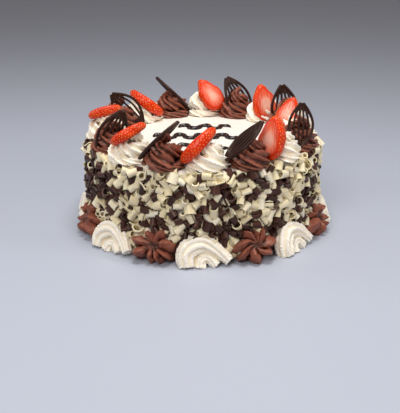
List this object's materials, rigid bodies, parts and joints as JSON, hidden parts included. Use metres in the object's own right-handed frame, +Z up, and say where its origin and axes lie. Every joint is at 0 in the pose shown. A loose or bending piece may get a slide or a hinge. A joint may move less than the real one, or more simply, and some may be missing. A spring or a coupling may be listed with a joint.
{
  "type": "chocolate strawberry cake",
  "caption": "Round uncut cream cake pressed with chocolate curls, topped with a ring of piped swirls, strawberry slices and chocolate fans, with piped pieces round its foot.",
  "frame": {"origin": "middle of the base, where the cake rests", "axes": "+Z up out of the top, -Y towards the front of the picture, +X to the right"},
  "size_m": [0.2376, 0.2376, 0.1181],
  "materials": {
    "cake_coat": "smooth whipped cream coat, its side pressed with ivory and dark chocolate curls",
    "whipped_cream": "soft satin piped whipped cream",
    "chocolate_cream": "satin piped chocolate cream",
    "dark_chocolate": "set dark chocolate with a dull gloss",
    "strawberry": "wet red skin with small yellow seeds, pale pink streaked cut faces"
  },
  "bodies": {
    "root": {"cake_body": "cake_coat", "cream_swirl_1": "whipped_cream", "strawberry_slice_1": "strawberry", "chocolate_swirl_1": "chocolate_cream", "chocolate_fan_1": "dark_chocolate", "cream_scroll_1": "whipped_cream", "chocolate_star_1": "chocolate_cream", "cream_swirl_2": "whipped_cream", "strawberry_slice_2": "strawberry", "chocolate_swirl_2": "chocolate_cream", "chocolate_fan_2": "dark_chocolate", "cream_scroll_2": "whipped_cream", "chocolate_star_2": "chocolate_cream", "cream_swirl_3": "whipped_cream", "strawberry_slice_3": "strawberry", "chocolate_swirl_3": "chocolate_cream", "chocolate_fan_3": "dark_chocolate", "cream_scroll_3": "whipped_cream", "chocolate_star_3": "chocolate_cream", "cream_swirl_4": "whipped_cream", "strawberry_slice_4": "strawberry", "chocolate_swirl_4": "chocolate_cream", "chocolate_fan_4": "dark_chocolate", "cream_scroll_4": "whipped_cream", "chocolate_star_4": "chocolate_cream", "cream_swirl_5": "whipped_cream", "strawberry_slice_5": "strawberry", "chocolate_swirl_5": "chocolate_cream", "chocolate_fan_5": "dark_chocolate", "cream_scroll_5": "whipped_cream", "chocolate_star_5": "chocolate_cream", "cream_swirl_6": "whipped_cream", "strawberry_slice_6": "strawberry", "chocolate_swirl_6": "chocolate_cream", "chocolate_fan_6": "dark_chocolate", "cream_scroll_6": "whipped_cream", "chocolate_star_6": "chocolate_cream", "cream_swirl_7": "whipped_cream", "strawberry_slice_7": "strawberry", "chocolate_swirl_7": "chocolate_cream", "chocolate_fan_7": "dark_chocolate", "cream_scroll_7": "whipped_cream", "chocolate_star_7": "chocolate_cream", "cream_swirl_8": "whipped_cream", "strawberry_slice_8": "strawberry", "chocolate_swirl_8": "chocolate_cream", "chocolate_fan_8": "dark_chocolate", "cream_scroll_8": "whipped_cream", "chocolate_star_8": "chocolate_cream"}
  },
  "joints": []
}
